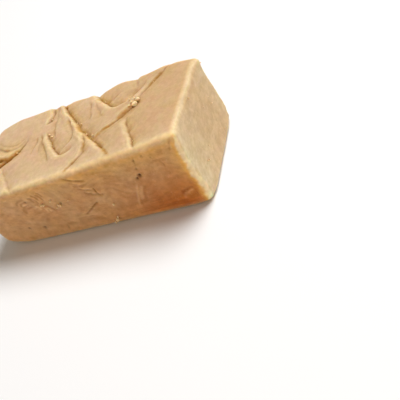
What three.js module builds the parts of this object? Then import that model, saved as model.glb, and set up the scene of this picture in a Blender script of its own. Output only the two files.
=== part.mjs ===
// A half-pound bar of peanut butter fudge, lying flat: a slab cut by hand, with a top that was swirled
// with a spatula while it was soft. It is one solid.
// Millimetres, +Z up. +X runs along the bar to its freshly cut end, and -Y is the long front face.
// The origin is in the middle of the base.
import * as THREE from "three";

// Driving sizes of the bar
const LENGTH = 109.5;
const WIDTH = 50;
const HEIGHT = 33;

// Edges: crisp where a knife cut the slab, rounder at the end that set against the tray's wall
const CUT_EDGE_RADIUS = 2.5;
const TRAY_EDGE_RADIUS = 8;
const TRAY_EDGE_REACH = 17;

// How far hand work leaves the bar from a true box
const CUT_LEAN = 0.9; // the front cut leans back at the cut end and forward at the tray end
const NEAR_RIM_RISE = 1.5; // the top's front rim climbs towards the cut end
const CUT_WANDER = 0.3; // the knife's slow drift on the long faces
const END_LEAN = 0.5; // the cut end leans out at its base

// Corners of the cut end that were rubbed off or drawn out: which corner, how far it moved and how far
// that reaches
const CORNERS = [
  { name: "back_base", corner: [1, 1, 0], move: [-1, -1, 0], reach: 6 },
  { name: "back_top", corner: [1, 1, 1], move: [1.3, 0.2, -0.7], reach: 4 },
  { name: "front_top", corner: [1, -1, 1], move: [1.5, 0.3, 0], reach: 6 },
  { name: "front_base", corner: [1, -1, 0], move: [-1.2, 1, 0], reach: 5 },
];

// Soft swells of the poured top: where each is, its height and how far it reaches along and across
// the bar
const SWELLS = [
  { name: "far_ridge", x: 41, y: 26, height: 1.4, reachX: 10, reachY: 9 },
  { name: "dish_pad", x: 20, y: 25, height: 0.8, reachX: 7, reachY: 9 },
  { name: "far_saddle", x: 3, y: 26, height: -1.1, reachX: 8, reachY: 8 },
  { name: "tray_lobe", x: -38, y: 15, height: 0.9, reachX: 14, reachY: 9 },
  { name: "tongue_crown", x: -6, y: 2, height: 0.6, reachX: 5, reachY: 6 },
  { name: "near_corner", x: 54.5, y: -25, height: 0.9, reachX: 9, reachY: 9 },
];

// Folds of the swirl. One side of a cleft stands proud and steep, and the other slopes down to it.
const CREASE_WIDTH = 0.8;
const PROUD_WIDTH = 1.8;
const LOW_WIDTH = 5;
const LIP_REACH = 4;
const LIP_EDGE = 0.5;
const END_FADE = 5; // a fold has its full depth from 1/5 of its length in from either end
const RIM_FADE = 9; // how far down the sides a fold that crosses the rim still shows

// Each fold runs through a few points of the top. Sharp is the share of its depth that is a narrow crease.
// Its lip is on the left of its way if positive, else right.
const FOLDS = [
  {
    name: "tray_valley",
    depth: 1.6,
    sharp: 0.75,
    lip: 0.4,
    through: [[-64, -21], [-45.5, -8.6], [-37.5, -3.2], [-31.2, 1.7], [-26.5, 8.5]],
  },
  {
    name: "tray_feeder",
    depth: 1.5,
    sharp: 0.6,
    lip: 0.3,
    through: [[-66, 6.5], [-49, 2], [-43.5, -0.4], [-39, -2.1], [-35, -3]],
  },
  {
    name: "lobe_rim",
    depth: 0.5,
    sharp: 0.25,
    lip: 0.3,
    through: [[-56, 15.2], [-47, 8.4], [-41.4, 4.7], [-35.6, 3], [-31.3, 4.3], [-27, 10]],
  },
  {
    name: "near_tuck",
    depth: 0.65,
    sharp: 0.35,
    lip: -0.25,
    through: [[-39.5, -5.1], [-34.9, -11.1], [-31.6, -15.6], [-27.6, -20.8], [-23.5, -26.6]],
  },
  {
    name: "far_notch",
    depth: 1.4,
    sharp: 0.55,
    lip: -0.25,
    through: [[-21, 34], [-18.4, 21.6], [-17.8, 17], [-19.8, 11.7]],
  },
  {
    name: "tongue",
    depth: 1.4,
    sharp: 0.55,
    lip: -0.4,
    through: [[-17.2, 7.3], [-10.8, -2.2], [-4.4, -9.7], [-1.6, -11.1], [0.9, -10.6], [3.5, -8]],
  },
  {
    name: "tongue_side",
    depth: 0.6,
    sharp: 0.4,
    lip: 0.15,
    through: [[-10.1, 16.6], [-5.5, 10.2], [-1.7, 3.7], [0.4, -2], [-2.1, -6.8], [-7, -6]],
  },
  {
    name: "tongue_bank",
    depth: 0.6,
    sharp: 0.55,
    lip: 0.2,
    through: [[-20.4, 7.9], [-17.3, 1.8], [-14.3, -3.6], [-11.1, -8.8], [-7, -15]],
  },
  {
    name: "outer_loop",
    depth: 0.7,
    sharp: 0.55,
    lip: -0.2,
    through: [[1.6, 5.3], [8.2, -6.6], [10.2, -14.3], [6.7, -20.4], [3.4, -25]],
  },
  {
    name: "diagonal",
    depth: 1.7,
    sharp: 0.6,
    lip: -0.5,
    through: [[-19.7, 33.3], [-8.4, 16.4], [0.9, 5.9], [5, -0.1], [15.1, -10.6], [26.8, -23.7]],
  },
  {
    name: "long_cleft",
    depth: 0.9,
    sharp: 0.6,
    lip: -0.2,
    through: [[31.6, 8.8], [28.5, 2.7], [23.6, -1.7]],
  },
  {
    name: "long_crease",
    depth: 0.6,
    sharp: 0.85,
    lip: -0.12,
    through: [[47, 27.5], [40.6, 20.3], [33, 11.5], [28.5, 2.7], [20.2, -3.9], [11.6, -6.8]],
  },
  {
    name: "dish",
    depth: 1.6,
    sharp: 0.55,
    lip: -0.45,
    through: [[0, 34], [6, 21.4], [13, 13.9], [18, 9.7], [22.8, 9.3], [29.2, 13.5], [34, 19]],
  },
  {
    name: "pad_end",
    depth: 0.65,
    sharp: 0.2,
    lip: 0.15,
    through: [[24, 34], [27.5, 22.1], [29.5, 16]],
  },
  {
    name: "short_crease",
    depth: 1,
    sharp: 0.5,
    lip: -0.3,
    through: [[28.9, -0.8], [28.5, -3.7], [32.5, -13.3], [38.7, -25]],
  },
];

// Fineness of the mesh
const TOP_STEP = 1.35;
const GATHER_SHARE = 0.85; // how far mesh points beside a fold move onto it, for a clean crease
const GATHER_REACH = 1.1;
const SIDE_LEVELS = 4;
const ROUNDING_STEPS = [0, 0.4, 0.7, 1]; // shares of an edge's radius at which the mesh has a line
const FOLD_STEP = 0.8;

const clamp01 = (t) => Math.min(1, Math.max(0, t));
const smooth = (t) => clamp01(t) ** 2 * (3 - 2 * clamp01(t));

const foldLines = FOLDS.map((fold) => {
  const curve = new THREE.SplineCurve(fold.through.map(([x, y]) => new THREE.Vector2(x, y)));
  return { ...fold, points: curve.getSpacedPoints(Math.ceil(curve.getLength() / FOLD_STEP)) };
});

// The nearest point of a fold to a point of the top: the way to it, the side of the fold (1 on its left),
// and the fold's strength there, which fades towards both of its ends
function nearestOnFold(points, x, y) {
  const best = { distance: Infinity, side: 1, strength: 0, way: [0, 0] };
  for (let i = 0; i + 1 < points.length; i++) {
    const [a, b] = [points[i], points[i + 1]];
    const [dx, dy, px, py] = [b.x - a.x, b.y - a.y, x - a.x, y - a.y];
    const share = clamp01((px * dx + py * dy) / (dx * dx + dy * dy));
    const way = [share * dx - px, share * dy - py];
    const distance = Math.hypot(...way);
    if (distance < best.distance) {
      const along = (i + share) / (points.length - 1);
      best.distance = distance;
      best.side = Math.sign(dx * py - dy * px);
      best.strength = smooth(END_FADE * along) * smooth(END_FADE * (1 - along));
      best.way = way;
    }
  }
  return best;
}

// Draws a mesh point of the top closer to the folds beside it
function gatherToFolds(x, y) {
  for (const { points } of foldLines) {
    const { distance, strength, way } = nearestOnFold(points, x, y);
    const pull = GATHER_SHARE * strength * Math.exp(-((distance / GATHER_REACH) ** 2));
    x += pull * way[0];
    y += pull * way[1];
  }
  return [x, y];
}

// Height of the swirl's folds over the plain top: clefts merge where folds meet, and lips add up
function foldHeight(x, y) {
  let cleftSquared = 0;
  let lips = 0;
  for (const { points, depth, sharp, lip } of foldLines) {
    const { distance, side, strength } = nearestOnFold(points, x, y);
    const proud = Math.sign(lip) * side * Math.tanh(distance / LIP_EDGE);
    const slopeWidth = LOW_WIDTH + ((PROUD_WIDTH - LOW_WIDTH) * (1 + proud)) / 2;
    const crease = sharp * Math.exp(-distance / CREASE_WIDTH);
    const slope = (1 - sharp) * Math.exp(-((distance / slopeWidth) ** 2));
    cleftSquared += (strength * depth * (crease + slope)) ** 2;
    lips += strength * Math.abs(lip) * proud * Math.exp(-((distance / LIP_REACH) ** 2));
  }
  return lips - Math.sqrt(cleftSquared);
}

// Height of the swells over the plain top
function swellHeight(x, y) {
  let total = 0;
  for (const swell of SWELLS) {
    const [dx, dy] = [(x - swell.x) / swell.reachX, (y - swell.y) / swell.reachY];
    total += swell.height * Math.exp(-(dx * dx) - dy * dy);
  }
  return total;
}

// Radius of the bar's edges, which grows towards the tray end
function edgeRadius(x) {
  const towardsTray = smooth(1 - (x + LENGTH / 2) / TRAY_EDGE_REACH);
  return CUT_EDGE_RADIUS + (TRAY_EDGE_RADIUS - CUT_EDGE_RADIUS) * towardsTray;
}

// How far the worn and drawn-out corners have moved at a point
function cornerMove(p) {
  const total = new THREE.Vector3();
  const size = new THREE.Vector3(LENGTH / 2, WIDTH / 2, HEIGHT);
  for (const { corner, move, reach } of CORNERS) {
    const away = new THREE.Vector3(...corner).multiply(size).distanceTo(p);
    total.addScaledVector(new THREE.Vector3(...move), Math.exp(-((away / reach) ** 2)));
  }
  return total;
}

// Moves a point of the sharp box onto the real bar: rounds its edges, then adds the marks of the hand work
function shapePoint(p) {
  const radius = edgeRadius(p.x);
  const reach = new THREE.Vector3(LENGTH / 2 - radius, WIDTH / 2 - radius, HEIGHT - radius);
  const core = p.clone().clamp(new THREE.Vector3(-reach.x, -reach.y, radius), reach);
  const out = p.clone().sub(core);
  if (out.lengthSq() > 0) p.copy(core).addScaledVector(out.normalize(), radius);

  const along = (2 * p.x) / LENGTH;
  const across = p.y / WIDTH;
  const up = p.z / HEIGHT;
  const drawn = cornerMove(p);
  const topShare = smooth(1 - (HEIGHT - p.z) / RIM_FADE);
  const rise = NEAR_RIM_RISE * along * (0.5 - across);
  p.z += topShare * (rise + foldHeight(p.x, p.y) + swellHeight(p.x, p.y));
  p.y += CUT_LEAN * along * (2 * up - 1) * smooth(0.5 - across);
  p.y += CUT_WANDER * Math.sin(p.x / 11 + 2 * up) * 2 * across * smooth(4 * up);
  p.x += END_LEAN * smooth(along) * (1 - up);
  p.add(drawn);
}

// Places of the mesh's lines from one end to the other, closer together over the rounded edges
function meshLines(half, startRadius, endRadius) {
  const start = -half + startRadius;
  const count = Math.round((2 * half - startRadius - endRadius) / TOP_STEP);
  const step = (2 * half - startRadius - endRadius) / count;
  const middle = Array.from({ length: count - 1 }, (_, i) => start + (i + 1) * step);
  return [
    ...ROUNDING_STEPS.map((share) => -half + share * startRadius),
    ...middle,
    ...ROUNDING_STEPS.toReversed().map((share) => half - share * endRadius),
  ];
}

// The closed surface: a grid over the top, levels down the four sides, and one flat face below
function barGeometry() {
  const xs = meshLines(LENGTH / 2, TRAY_EDGE_RADIUS, CUT_EDGE_RADIUS);
  const ys = meshLines(WIDTH / 2, CUT_EDGE_RADIUS, CUT_EDGE_RADIUS);
  const points = [];
  const triangles = [];
  const addPoint = (x, y, z) => points.push(new THREE.Vector3(x, y, z)) - 1;

  const lastX = xs.length - 1;
  const lastY = ys.length - 1;
  const onEdge = (i, last) => i < ROUNDING_STEPS.length || i > last - ROUNDING_STEPS.length;
  const top = xs.map((x, i) =>
    ys.map((y, j) => {
      const place = onEdge(i, lastX) || onEdge(j, lastY) ? [x, y] : gatherToFolds(x, y);
      return addPoint(...place, HEIGHT);
    }),
  );
  const rim = [
    ...xs.map((_, i) => top[i][0]),
    ...ys.slice(1).map((_, j) => top[lastX][j + 1]),
    ...xs.slice(1).map((_, i) => top[lastX - 1 - i][lastY]),
    ...ys.slice(1, -1).map((_, j) => top[0][lastY - 1 - j]),
  ];

  const sideSpan = HEIGHT - CUT_EDGE_RADIUS - TRAY_EDGE_RADIUS;
  const sideStep = sideSpan / SIDE_LEVELS;
  const sideLevels = Array.from({ length: SIDE_LEVELS }, (_, i) => TRAY_EDGE_RADIUS + i * sideStep);
  const levels = [
    ...ROUNDING_STEPS.slice(1).map((share) => HEIGHT - share * CUT_EDGE_RADIUS),
    ...sideLevels.toReversed(),
    ...ROUNDING_STEPS.toReversed().slice(1).map((share) => share * TRAY_EDGE_RADIUS),
  ];
  const rings = [rim];
  for (const z of levels) rings.push(rim.map((i) => addPoint(points[i].x, points[i].y, z)));

  // The base's outline lies inside the rounded edge, so that it is flat
  const base = rim.map((i) => {
    const { x, y } = points[i];
    const inset = 2 * edgeRadius(x);
    return addPoint(x * (1 - inset / LENGTH), y * (1 - inset / WIDTH), 0);
  });
  rings.push(base);
  const baseMiddle = addPoint(0, 0, 0);

  points.forEach(shapePoint);

  // A square's diagonal follows the fold that crosses it
  const addSquare = (a, b, c, d) => {
    const alongFirst = Math.abs(points[a].z - points[c].z) <= Math.abs(points[b].z - points[d].z);
    triangles.push(...(alongFirst ? [a, b, c, a, c, d] : [a, b, d, b, c, d]));
  };
  for (let i = 0; i < lastX; i++)
    for (let j = 0; j < lastY; j++) addSquare(top[i][j], top[i + 1][j], top[i + 1][j + 1], top[i][j + 1]);
  for (let k = 0; k + 1 < rings.length; k++)
    rim.forEach((_, i) => {
      const next = (i + 1) % rim.length;
      addSquare(rings[k + 1][i], rings[k + 1][next], rings[k][next], rings[k][i]);
    });
  base.forEach((point, i) => triangles.push(baseMiddle, base[(i + 1) % base.length], point));

  const geometry = new THREE.BufferGeometry().setFromPoints(points);
  geometry.setIndex(triangles);
  geometry.computeBoundingBox();
  const { min, max } = geometry.boundingBox;
  geometry.translate(-(min.x + max.x) / 2, -(min.y + max.y) / 2, -min.z);
  geometry.computeVertexNormals();
  return geometry;
}

const fudge = new THREE.MeshStandardMaterial({ color: 0xdab589, roughness: 0.55, metalness: 0 });
const bar = new THREE.Mesh(barGeometry(), fudge);
bar.name = "fudge_bar";

const part = new THREE.Group();
part.add(bar);

export default part;
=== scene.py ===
"""Looks of a half-pound bar of peanut butter fudge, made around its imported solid.

The bar is remade as one fine mesh that stands for the solid: the same folds of the swirled top, with the
marks that a spatula and a knife leave. Mesh work is in millimetres, and Blender's objects are in metres.
"""
import math

import bmesh
import bpy
import numpy as np
from mathutils import Matrix, Vector, noise


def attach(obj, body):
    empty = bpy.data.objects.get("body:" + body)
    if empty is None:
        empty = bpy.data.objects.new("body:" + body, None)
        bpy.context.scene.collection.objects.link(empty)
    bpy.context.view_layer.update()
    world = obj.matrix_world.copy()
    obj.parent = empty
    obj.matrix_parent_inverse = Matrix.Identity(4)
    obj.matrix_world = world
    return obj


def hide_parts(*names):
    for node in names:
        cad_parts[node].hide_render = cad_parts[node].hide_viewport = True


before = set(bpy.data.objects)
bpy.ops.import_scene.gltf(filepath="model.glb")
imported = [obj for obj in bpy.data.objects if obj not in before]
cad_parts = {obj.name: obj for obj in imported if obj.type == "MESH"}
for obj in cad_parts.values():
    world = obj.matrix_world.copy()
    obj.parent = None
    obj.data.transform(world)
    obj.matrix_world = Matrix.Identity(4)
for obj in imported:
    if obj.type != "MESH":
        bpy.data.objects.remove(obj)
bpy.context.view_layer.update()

MM = 0.001
FUDGE_NODE = "fudge_bar"

# Driving sizes of the bar, as its solid has them
LENGTH = 109.5
WIDTH = 50.0
HEIGHT = 33.0
BOX_CORNER = np.array([LENGTH / 2, WIDTH / 2, HEIGHT])
CUT_EDGE_RADIUS = 2.5
TRAY_EDGE_RADIUS = 8.0
TRAY_EDGE_REACH = 17.0

# How far hand work leaves the bar from a true box
CUT_LEAN = 0.9
END_LEAN = 0.5
NEAR_RIM_RISE = 1.5
CUT_WANDER = 0.3
WANDER_LENGTH = 11.0
WANDER_TURN = 2.0
WANDER_START = 0.25

# Corners of the cut end, rubbed off or drawn out: which one, its move and its reach
CORNERS = {
    "back_base": ((1, 1, 0), (-1.0, -1.0, 0), 6.0),
    "back_top": ((1, 1, 1), (1.3, 0.2, -0.7), 4.0),
    "front_top": ((1, -1, 1), (1.5, 0.3, 0), 6.0),
    "front_base": ((1, -1, 0), (-1.2, 1.0, 0), 5.0),
}

# Swells of the top: place, height and reach along and across the bar
SWELLS = {
    "far_ridge": (41, 26, 1.4, 10, 9),
    "dish_pad": (20, 25, 0.8, 7, 9),
    "far_saddle": (3, 26, -1.1, 8, 8),
    "tray_lobe": (-38, 15, 0.9, 14, 9),
    "tongue_crown": (-6, 2, 0.6, 5, 6),
    "near_corner": (54.5, -25, 0.9, 9, 9),
}

# Folds of the swirl: one side of a cleft stands proud and steep, the other slopes down to it
CREASE_WIDTH = 0.5
CREASE_FLOOR = 0.12
PROUD_WIDTH = 1.3
LOW_WIDTH = 5.0
LIP_REACH = 4.0
LIP_EDGE = 0.35
END_FADE = 5.0
RIM_FADE = 9.0
FOLD_STEP = 0.5
FOLD_REACH = 11.0

# Each fold: its depth, its share of sharp crease, its lip (proud on its left if positive) and its points
FOLDS = {
    "tray_valley": (1.6, 0.75, 0.4, [(-64, -21), (-45.5, -8.6), (-37.5, -3.2), (-31.2, 1.7), (-26.5, 8.5)]),
    "tray_feeder": (1.5, 0.6, 0.3, [(-66, 6.5), (-49, 2), (-43.5, -0.4), (-39, -2.1), (-35, -3)]),
    "lobe_rim": (0.5, 0.25, 0.3, [
        (-56, 15.2), (-47, 8.4), (-41.4, 4.7), (-35.6, 3), (-31.3, 4.3), (-27, 10),
    ]),
    "lobe_line": (0.35, 0.25, 0.12, [
        (-56, 18.8), (-48, 11.6), (-42.2, 7.4), (-36.2, 5.2), (-31.7, 6), (-26.5, 11.6),
    ]),
    "near_tuck": (0.65, 0.35, -0.25, [
        (-39.5, -5.1), (-34.9, -11.1), (-31.6, -15.6), (-27.6, -20.8), (-23.5, -26.6),
    ]),
    "far_notch": (1.4, 0.55, -0.25, [(-21, 34), (-18.4, 21.6), (-17.8, 17), (-19.8, 11.7)]),
    "neck_line": (0.4, 0.5, 0.05, [(-16, 25), (-13.8, 14.6), (-13.2, 9.2), (-9.2, -1)]),
    "tongue": (1.4, 0.55, -0.4, [
        (-17.2, 7.3), (-10.8, -2.2), (-4.4, -9.7), (-1.6, -11.1), (0.9, -10.6), (3.5, -8),
    ]),
    "tongue_side": (0.6, 0.4, 0.15, [
        (-10.1, 16.6), (-5.5, 10.2), (-1.7, 3.7), (0.4, -2), (-2.1, -6.8), (-7, -6),
    ]),
    "tongue_bank": (0.6, 0.55, 0.2, [(-20.4, 7.9), (-17.3, 1.8), (-14.3, -3.6), (-11.1, -8.8), (-7, -15)]),
    "outer_loop": (0.7, 0.55, -0.2, [(1.6, 5.3), (8.2, -6.6), (10.2, -14.3), (6.7, -20.4), (3.4, -25)]),
    "diagonal": (1.5, 0.6, -0.5, [
        (-19.7, 33.3), (-8.4, 16.4), (0.9, 5.9), (5, -0.1), (15.1, -10.6), (26.8, -23.7),
    ]),
    "diagonal_tear": (1.0, 0.7, -0.1, [(-5.5, 12.9), (0.9, 5.9), (5, -0.1), (15.1, -10.6)]),
    "long_cleft": (0.9, 0.6, -0.2, [(31.6, 8.8), (28.5, 2.7), (23.6, -1.7)]),
    "long_crease": (0.6, 0.85, -0.12, [
        (47, 27.5), (40.6, 20.3), (33, 11.5), (28.5, 2.7), (20.2, -3.9), (11.6, -6.8),
    ]),
    "second_crease": (0.22, 0.6, -0.08, [(28, -1), (24, -4.4), (15, -8.6)]),
    "dish": (1.6, 0.55, -0.45, [
        (0, 34), (6, 21.4), (13, 13.9), (18, 9.7), (22.8, 9.3), (29.2, 13.5), (34, 19),
    ]),
    "dish_floor": (0.6, 0.5, -0.15, [(7, 19.5), (12.3, 14.8), (16.1, 14.5), (21, 17.5)]),
    "pad_end": (0.65, 0.2, 0.15, [(24, 34), (27.5, 22.1), (29.5, 16)]),
    "short_crease": (1.0, 0.5, -0.3, [(28.9, -0.8), (28.5, -3.7), (32.5, -13.3), (38.7, -25)]),
    "thin_pull_a": (0.4, 0.6, 0.08, [(3.4, 19.2), (6.4, 9.5), (6.8, 4.3)]),
    "thin_pull_b": (0.3, 0.6, 0.06, [(6.3, 17.9), (12, 7.8), (16, 3.7)]),
    "thin_pull_c": (0.4, 0.6, 0.06, [(-21.5, 6.1), (-21.4, 1.8), (-22, -6.5)]),
    "thin_pull_d": (0.25, 0.6, 0.06, [(-19.2, 3.4), (-17.8, -2), (-17.1, -7)]),
}

# Stretches where the crust tore open, tinted partly with painted shade: how wide, how dark their painted
# shade is, how strong the painted highlight on their left banks, and their points
TORN_WEDGES = {
    "long_crease": (2.0, 0.45, 1.0, [(22.4, -2.4), (26, 0.8), (29.4, 3.9), (32, 9)]),
    "long_tail": (1.1, 0.25, 0.7, [(9.5, -7.4), (14.6, -6.2), (20.2, -3.9), (24, -1.2)]),
    "long_end": (0.9, 0.7, 0.5, [(34.4, 13.4), (38, 17.5), (41.6, 21.3)]),
    "diagonal": (1.3, 0.2, 0.4, [(-1, 8.2), (5, 0), (14, -9)]),
    "diagonal_foot": (0.7, 0.6, 0.5, [(13, -8.3), (19.5, -15.5), (27, -24)]),
    "dish": (1.6, 0.1, 0, [(6, 21.5), (12, 15.2), (17, 14.6)]),
    "feeder": (1.6, 0.9, 0, [(-50, 2.4), (-42, -1), (-34, -3.2)]),
    "valley": (1.4, 0.3, 0, [(-44, -7.6), (-37.5, -3.2), (-30, 3.2)]),
    "loop_notch": (0.7, 0.6, 0, [(8.7, -8), (10.1, -11.5), (10.3, -15.5)]),
    "loop_foot": (0.65, 0.3, 0.9, [(9, -17), (6.6, -20.5), (4, -24)]),
}

# How uneven folds are: wander by its size, change of depth, drag lines, torn-up bits and lumps
FOLD_WARPS = {5.0: 0.6, 1.5: 0.22}
FOLD_UNEVEN = 0.5
UNEVEN_SIZE = 4.0
DRAG_LINE_SIZE = (0.9, 7.0)
DRAG_LINE_HEIGHT = 0.05
TORN_HEIGHT = 0.5
TORN_SIZE = 1.1
TORN_FINE = 0.5
LUMP_HEIGHT = 0.12
LUMP_SIZE = 5.0

# A fold's marks: what marks it in full, the change along it, its seams darkened with painted shade, its
# tear-roughened slope tinted partly with painted shade, and the painted highlight of its proud banks
FULL_DEPTH = 1.2
FULL_SHARP = 0.5
MARK_CHANGE = 0.8
CHANGE_SIZE = 5.0
MARK_LIMITS = (0.3, 1.6)
SEAM_WIDTH = 0.45
SEAM_RAG = 0.6
SEAM_RAG_SIZE = 1.0
TORN_WIDTH = 1.8
PROUD_TORN = 0.3
BANK_MIDDLE = 1.2
BANK_WIDTH = 1.6
BANK_CHANGE = 0.7

# A tear's wedge: its painted shade outside holes, and the middle and width of the painted highlight on its
# banks, in wedge widths
WEDGE_DARK = 0.7
WEDGE_BANK = 1.2
WEDGE_BANK_WIDTH = math.sqrt(0.4)

# Holes left where crumbs broke out of the deep folds
HOLE_SIZE = 1.8
HOLE_WIDTH = 0.7
HOLE_DEPTH = 0.35
HOLE_MARK = 0.75

# Contrast of patchy noises, shifts in millimetres, and rows between folds, so that no two are alike
PATCH_CONTRAST = 2.0
WARP_SHIFTS = (0, 40)
HOLE_SHIFT = 70
CURL_SHIFT = 60
SCRATCH_SHIFT = 30
SCRATCHED_SHIFT = 90
UNEVEN_ROW = 7.3
CHANGE_ROW = 3.7

# Fineness of the mesh, the pull of the folds on it, and the widths beyond which a bell is nothing
TOP_STEP = 0.38
SIDE_STEP = 0.5
GATHER_SHARE = 0.6
GATHER_REACH = 0.9
ROUNDING_LINES = 7
ROUNDING_POWER = 1.3
SPLINE_STEPS = 60
BELL_REACH = 3


def smooth(t):
    """0 to 1, with a soft start and end."""
    t = np.clip(t, 0, 1)
    return t * t * (3 - 2 * t)


def ramp(values, start, length):
    """0 before the start and 1 a length beyond it, backwards if the length is below 0."""
    return smooth((values - start) / length)


def bell(distance, width):
    """1 in the middle, and fading out on both sides."""
    return np.exp(-((distance / width) ** 2))


def mixed(low, high, share):
    """A value between two others."""
    return low + (high - low) * share


def soft_mounds(x, y, mounds):
    """Height of soft mounds given as place, height and reach along and across."""
    total = np.zeros(len(x))
    for middle_x, middle_y, height, reach_x, reach_y in mounds.values():
        total += height * bell(x - middle_x, reach_x) * bell(y - middle_y, reach_y)
    return total


def noise_at(points, *size):
    """Smooth noise, about -1 to 1, at points with each column measured in its own size."""
    scaled = np.zeros((len(points), 3))
    scaled[:, : points.shape[1]] = points / np.array(size)
    return np.fromiter((noise.noise(p) for p in scaled.tolist()), float, len(points))


def noise_along(run, row, size):
    """Noise that changes along a line, and is another on each row."""
    return noise_at(np.column_stack([run, np.full(len(run), row)]), size, 1)


def raise_to(mask, near, values):
    """Raises a mask to the values that a mark has near it."""
    mask[near] = np.maximum(mask[near], values)


def spline_through(points, step):
    """A smooth line through the points, as evenly spaced places."""
    knots = np.array([points[0], *points, points[-1]], float)
    t = np.linspace(0, 1, SPLINE_STEPS, endpoint=False)[:, None]
    dense = []
    for a, b, c, d in zip(knots, knots[1:], knots[2:], knots[3:]):
        start, end = (c - a) / 2, (d - b) / 2
        cubic = 2 * b - 2 * c + start + end
        square = 3 * c - 3 * b - 2 * start - end
        dense.append(cubic * t**3 + square * t**2 + start * t + b)
    dense = np.concatenate([*dense, knots[-1:]])
    run = np.concatenate([[0], np.cumsum(np.linalg.norm(np.diff(dense, axis=0), axis=1))])
    even = np.linspace(0, run[-1], math.ceil(run[-1] / step) + 1)
    return np.stack([np.interp(even, run, dense[:, k]) for k in range(2)], axis=1)


def nearest_on(line, places):
    """For each place the way to the line, its side (1 on the left) and its share of the line's run."""
    starts, steps = line[:-1], np.diff(line, axis=0)
    to_place = places[:, None] - starts
    share = np.clip((to_place * steps).sum(2) / (steps**2).sum(1), 0, 1)
    ways = share[..., None] * steps - to_place
    best = (ways**2).sum(2).argmin(1)
    rows = np.arange(len(places))
    turn = steps[best, 0] * to_place[rows, best, 1] - steps[best, 1] * to_place[rows, best, 0]
    return ways[rows, best], np.sign(turn), (best + share[rows, best]) / len(steps)


def beside(line, places, reach):
    """Which places lie within reach of the box around the line."""
    return ((places > line.min(0) - reach) & (places < line.max(0) + reach)).all(1)


FOLD_LINES = {name: spline_through(fold[-1], FOLD_STEP) for name, fold in FOLDS.items()}


def fold_strength(along):
    """Folds run out towards both their ends."""
    return smooth(END_FADE * along) * smooth(END_FADE * (1 - along))


def gather_to_folds(places):
    """Draws mesh points closer to the folds, so that creases are crisp."""
    places = places.copy()
    for line in FOLD_LINES.values():
        near = beside(line, places, BELL_REACH * GATHER_REACH)
        way, _, along = nearest_on(line, places[near])
        pull = GATHER_SHARE * fold_strength(along) * bell(np.linalg.norm(way, axis=1), GATHER_REACH)
        places[near] += pull[:, None] * way
    return places


# Masks that folds leave on the top: painted shade in seams and holes, tears tinted partly with painted
# shade, painted highlight on banks, and drag lines
FOLD_MASKS = ("seam_shade", "hole", "torn_and_shaded", "bank_highlight", "drag")


def press_fold(marks, places, warped, holed, number, line, depth, sharp, lip):
    """Adds one fold's cleft, lip and marks to the top's."""
    near = beside(line, warped, FOLD_REACH)
    way, side, along = nearest_on(line, warped[near])
    raw = np.linalg.norm(way, axis=1)
    distance = np.sqrt(raw**2 + CREASE_FLOOR**2) - CREASE_FLOOR
    run = along * len(line) * FOLD_STEP
    uneven = noise_along(run, UNEVEN_ROW * number, UNEVEN_SIZE)
    strength = fold_strength(along) * (1 + FOLD_UNEVEN * uneven)
    low = (1 - math.copysign(1, lip) * side * np.tanh(raw / LIP_EDGE)) / 2
    crease = sharp * np.exp(-distance / CREASE_WIDTH)
    slope = (1 - sharp) * bell(distance, mixed(PROUD_WIDTH, LOW_WIDTH, low))
    marks["cleft_squared"][near] += (strength * depth * (crease + slope)) ** 2
    marks["lip"][near] += strength * abs(lip) * (1 - 2 * low) * bell(distance, LIP_REACH)
    drag = noise_at(np.column_stack([side * raw, run]), *DRAG_LINE_SIZE)
    marks["drag"][near] += strength * min(1, depth) * bell(raw, LIP_REACH) * drag

    change = noise_along(run, CHANGE_ROW * number, CHANGE_SIZE)
    mark = strength * min(1, depth / FULL_DEPTH) * min(1, sharp / FULL_SHARP)
    mark *= np.clip(1 + MARK_CHANGE * change, *MARK_LIMITS)
    seam_width = SEAM_WIDTH * (1 + SEAM_RAG * noise_at(places[near], SEAM_RAG_SIZE, SEAM_RAG_SIZE))
    # Painted shade: darkens the colour along the cleft, where its shade falls
    raise_to(marks["seam_shade"], near, np.minimum(1, mark) * bell(raw, seam_width))
    hole = np.clip(mark - HOLE_MARK, 0, 1) * bell(raw, HOLE_WIDTH)
    raise_to(marks["hole"], near, hole * holed[near])
    # Tear colour: partly broken crust, partly painted shade in the cleft
    raise_to(marks["torn_and_shaded"], near, mark * np.exp(-raw / TORN_WIDTH) * mixed(PROUD_TORN, 1, low))
    # Painted highlight on the proud banks beside the cleft, where they catch the light
    on_bank = bell(raw - BANK_MIDDLE, BANK_WIDTH * (1 - BANK_CHANGE * change))
    raise_to(marks["bank_highlight"], near, mark * (1 - low) * on_bank)


def tear_wedge(marks, warped, holed, width, dark, pale, points):
    """Adds one torn stretch of a fold to the top's marks."""
    line = spline_through(points, FOLD_STEP)
    near = beside(line, warped, BELL_REACH * width)
    way, side, along = nearest_on(line, warped[near])
    widths_away = np.linalg.norm(way, axis=1) / width
    wedge = fold_strength(along) * bell(widths_away, 1)
    # Tear colour: partly broken crust, partly painted shade
    raise_to(marks["torn_and_shaded"], near, wedge)
    # Painted shade in the wedge, darkest in holes
    raise_to(marks["seam_shade"], near, dark * wedge * np.clip(WEDGE_DARK + holed[near], 0, 1))
    # Painted highlight on the banks to the left of the tear
    bank_highlight = fold_strength(along) * (side > 0) * bell(widths_away - WEDGE_BANK, WEDGE_BANK_WIDTH)
    raise_to(marks["bank_highlight"], near, pale * bank_highlight)


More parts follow.
